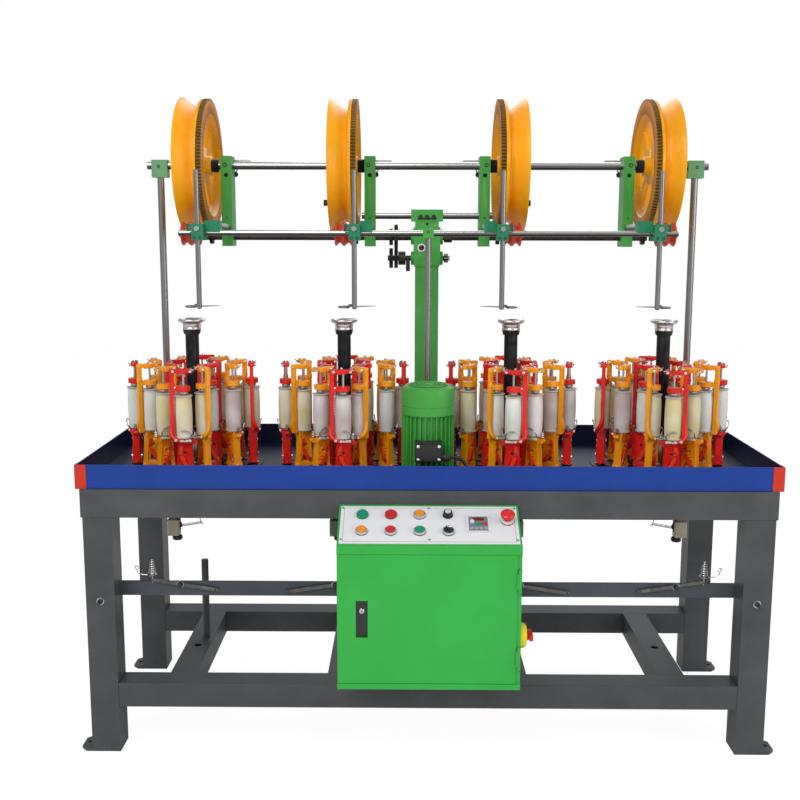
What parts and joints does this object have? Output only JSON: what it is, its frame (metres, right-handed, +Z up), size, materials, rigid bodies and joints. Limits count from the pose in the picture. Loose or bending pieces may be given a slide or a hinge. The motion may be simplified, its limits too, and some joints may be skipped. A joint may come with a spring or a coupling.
{
  "type": "maypole braiding machine",
  "caption": "Floor-standing braiding machine with carriers weaving round core tubes under yellow grooved take-up wheels, on a steel table with a green control box.",
  "frame": {"origin": "on the floor, at the centre of the four foot bolts", "axes": "+X to the right along the table, +Y to the back, away from the control box, +Z up"},
  "size_m": [1.834, 0.84, 1.7389],
  "materials": {
    "frame_grey": "satin",
    "bar_grey": "satin",
    "tray_blue": "satin",
    "cap_orange": "satin",
    "machine_green": "satin",
    "clamp_green": "satin",
    "wheel_yellow": "satin",
    "carrier_red": "satin",
    "carrier_orange": "satin",
    "bright_steel": "satin",
    "dark_steel": "satin",
    "black_steel": "satin",
    "ring_chrome": "polished",
    "bezel_chrome": "polished",
    "panel_steel": "satin",
    "yarn": "matte",
    "black_plastic": "matte",
    "cable_black": "matte",
    "display_plastic": "glossy",
    "button_green": "glossy",
    "button_red": "glossy",
    "button_orange": "glossy",
    "isolator_yellow": "glossy",
    "box_beige": "satin"
  },
  "bodies": {
    "machine": {"legs": "frame_grey", "long_rails": "frame_grey", "cross_rails": "frame_grey", "mid_bar": "bar_grey", "gear_case": "frame_grey", "tray": "tray_blue", "corner_caps": "cap_orange", "track_plates": "black_steel", "horn_gears": "dark_steel", "carriers_red": "carrier_red", "carriers_orange": "carrier_orange", "bobbins": "yarn", "carrier_feet": "bright_steel", "core_tubes": "black_steel", "braiding_rings": "ring_chrome", "motor": "machine_green", "terminal_box": "black_plastic", "motor_cable": "cable_black", "column": "machine_green", "gearbox": "machine_green", "rod_blocks": "machine_green", "end_posts": "bright_steel", "cross_rods": "bright_steel", "brackets": "machine_green", "roller_brackets": "clamp_green", "ring_guides": "bright_steel", "pawl_levers": "dark_steel", "box_shell": "machine_green", "panel_plate": "panel_steel", "display_module": "display_plastic", "button_bezels": "bezel_chrome", "isolator_base": "isolator_yellow", "stop_motion_boxes": "box_beige", "fasteners": "bright_steel"},
    "box_door": {"box_door": "machine_green"},
    "door_latch": {"door_latch": "black_plastic"},
    "start_button": {"start_button": "button_green"},
    "stop_button": {"stop_button": "button_red"},
    "jog_button": {"jog_button": "button_orange"},
    "reset_button": {"reset_button": "button_orange"},
    "alarm_button": {"alarm_button": "button_red"},
    "light_button": {"light_button": "button_green"},
    "speed_knob": {"speed_knob": "black_plastic"},
    "selector_knob": {"selector_knob": "black_plastic"},
    "emergency_stop": {"emergency_stop": "button_red"},
    "isolator_handle": {"isolator_handle": "button_red"},
    "drive_shaft": {"drive_shaft": "dark_steel"},
    "change_gear_shaft": {"change_gear_shaft": "dark_steel"},
    "take_up_wheel_1": {"take_up_wheel_1": "wheel_yellow"},
    "take_up_wheel_2": {"take_up_wheel_2": "wheel_yellow"},
    "take_up_wheel_3": {"take_up_wheel_3": "wheel_yellow"},
    "take_up_wheel_4": {"take_up_wheel_4": "wheel_yellow"},
    "guide_roller_1": {"guide_roller_1": "cap_orange"},
    "guide_roller_2": {"guide_roller_2": "cap_orange"},
    "guide_roller_3": {"guide_roller_3": "cap_orange"},
    "guide_roller_4": {"guide_roller_4": "cap_orange"},
    "tension_lever_1": {"tension_lever_1": "bright_steel"},
    "tension_lever_2": {"tension_lever_2": "bright_steel"},
    "tension_lever_3": {"tension_lever_3": "bright_steel"},
    "tension_lever_4": {"tension_lever_4": "bright_steel"}
  },
  "joints": [
    {"name": "door_swing", "type": "hinge", "parent": "machine", "child": "box_door", "pos_m": [0.221, -0.4453, 0.42], "axis": [0, 0, 1], "range_deg": [0, 110]},
    {"name": "latch_turn", "type": "hinge", "parent": "box_door", "child": "door_latch", "pos_m": [-0.165, -0.44, 0.4634], "axis": [1, 0, 0], "range_deg": [-35, 0]},
    {"name": "start_press", "type": "slide", "parent": "machine", "child": "start_button", "axis": [0, 0.4338, -0.901], "range_m": [0, 0.004], "stiffness_N_per_m": 300},
    {"name": "stop_press", "type": "slide", "parent": "machine", "child": "stop_button", "axis": [0, 0.4338, -0.901], "range_m": [0, 0.004], "stiffness_N_per_m": 300},
    {"name": "jog_press", "type": "slide", "parent": "machine", "child": "jog_button", "axis": [0, 0.4338, -0.901], "range_m": [0, 0.004], "stiffness_N_per_m": 300},
    {"name": "reset_press", "type": "slide", "parent": "machine", "child": "reset_button", "axis": [0, 0.4338, -0.901], "range_m": [0, 0.004], "stiffness_N_per_m": 300},
    {"name": "alarm_press", "type": "slide", "parent": "machine", "child": "alarm_button", "axis": [0, 0.4338, -0.901], "range_m": [0, 0.004], "stiffness_N_per_m": 300},
    {"name": "light_press", "type": "slide", "parent": "machine", "child": "light_button", "axis": [0, 0.4338, -0.901], "range_m": [0, 0.004], "stiffness_N_per_m": 300},
    {"name": "speed_turn", "type": "hinge", "parent": "machine", "child": "speed_knob", "pos_m": [0.04746, -0.34359, 0.65542], "axis": [0, -0.4338, 0.901], "range_deg": [-150, 150]},
    {"name": "selector_turn", "type": "hinge", "parent": "machine", "child": "selector_knob", "pos_m": [0.04746, -0.39855, 0.62896], "axis": [0, -0.4338, 0.901], "range_deg": [-70, 0]},
    {"name": "emergency_stop_press", "type": "slide", "parent": "machine", "child": "emergency_stop", "axis": [0, 0.4338, -0.901], "range_m": [0, 0.005]},
    {"name": "isolator_turn", "type": "hinge", "parent": "machine", "child": "isolator_handle", "pos_m": [0.2463, -0.38, 0.358], "axis": [1, 0, 0], "range_deg": [0, 90]},
    {"name": "wheel_turn_1", "type": "hinge", "parent": "machine", "child": "take_up_wheel_1", "pos_m": [-0.653, 0.2, 1.549], "axis": [1, 0, 0], "continuous": true},
    {"name": "wheel_turn_2", "type": "hinge", "parent": "machine", "child": "take_up_wheel_2", "pos_m": [-0.231, 0.2, 1.549], "axis": [1, 0, 0], "continuous": true},
    {"name": "wheel_turn_3", "type": "hinge", "parent": "machine", "child": "take_up_wheel_3", "pos_m": [0.231, 0.2, 1.549], "axis": [1, 0, 0], "continuous": true},
    {"name": "wheel_turn_4", "type": "hinge", "parent": "machine", "child": "take_up_wheel_4", "pos_m": [0.653, 0.2, 1.549], "axis": [1, 0, 0], "continuous": true},
    {"name": "drive_shaft_turn", "type": "hinge", "parent": "machine", "child": "drive_shaft", "pos_m": [0, 0.2, 1.3465], "axis": [1, 0, 0], "continuous": true},
    {"name": "change_gear_turn", "type": "hinge", "parent": "machine", "child": "change_gear_shaft", "pos_m": [0, 0.2, 1.2855], "axis": [1, 0, 0], "continuous": true},
    {"name": "roller_turn_1", "type": "hinge", "parent": "machine", "child": "guide_roller_1", "pos_m": [-0.653, 0.03, 1.355], "axis": [1, 0, 0], "continuous": true},
    {"name": "roller_turn_2", "type": "hinge", "parent": "machine", "child": "guide_roller_2", "pos_m": [-0.231, 0.03, 1.355], "axis": [1, 0, 0], "continuous": true},
    {"name": "roller_turn_3", "type": "hinge", "parent": "machine", "child": "guide_roller_3", "pos_m": [0.231, 0.03, 1.355], "axis": [1, 0, 0], "continuous": true},
    {"name": "roller_turn_4", "type": "hinge", "parent": "machine", "child": "guide_roller_4", "pos_m": [0.653, 0.03, 1.355], "axis": [1, 0, 0], "continuous": true},
    {"name": "lever_rock_1", "type": "hinge", "parent": "machine", "child": "tension_lever_1", "pos_m": [-0.654, -0.233, 0.438], "axis": [0, 1, 0], "range_deg": [-12, 12]},
    {"name": "lever_rock_2", "type": "hinge", "parent": "machine", "child": "tension_lever_2", "pos_m": [-0.244, -0.233, 0.438], "axis": [0, 1, 0], "range_deg": [-12, 12]},
    {"name": "lever_rock_3", "type": "hinge", "parent": "machine", "child": "tension_lever_3", "pos_m": [0.244, -0.233, 0.438], "axis": [0, 1, 0], "range_deg": [-12, 12]},
    {"name": "lever_rock_4", "type": "hinge", "parent": "machine", "child": "tension_lever_4", "pos_m": [0.654, -0.233, 0.438], "axis": [0, 1, 0], "range_deg": [-12, 12]}
  ],
  "couplings": [
    {"joint": "wheel_turn_2", "follows": "wheel_turn_1", "ratio": 1},
    {"joint": "wheel_turn_3", "follows": "wheel_turn_1", "ratio": 1},
    {"joint": "wheel_turn_4", "follows": "wheel_turn_1", "ratio": 1},
    {"joint": "drive_shaft_turn", "follows": "wheel_turn_1", "ratio": -10.25},
    {"joint": "change_gear_turn", "follows": "wheel_turn_1", "ratio": 12.907}
  ]
}
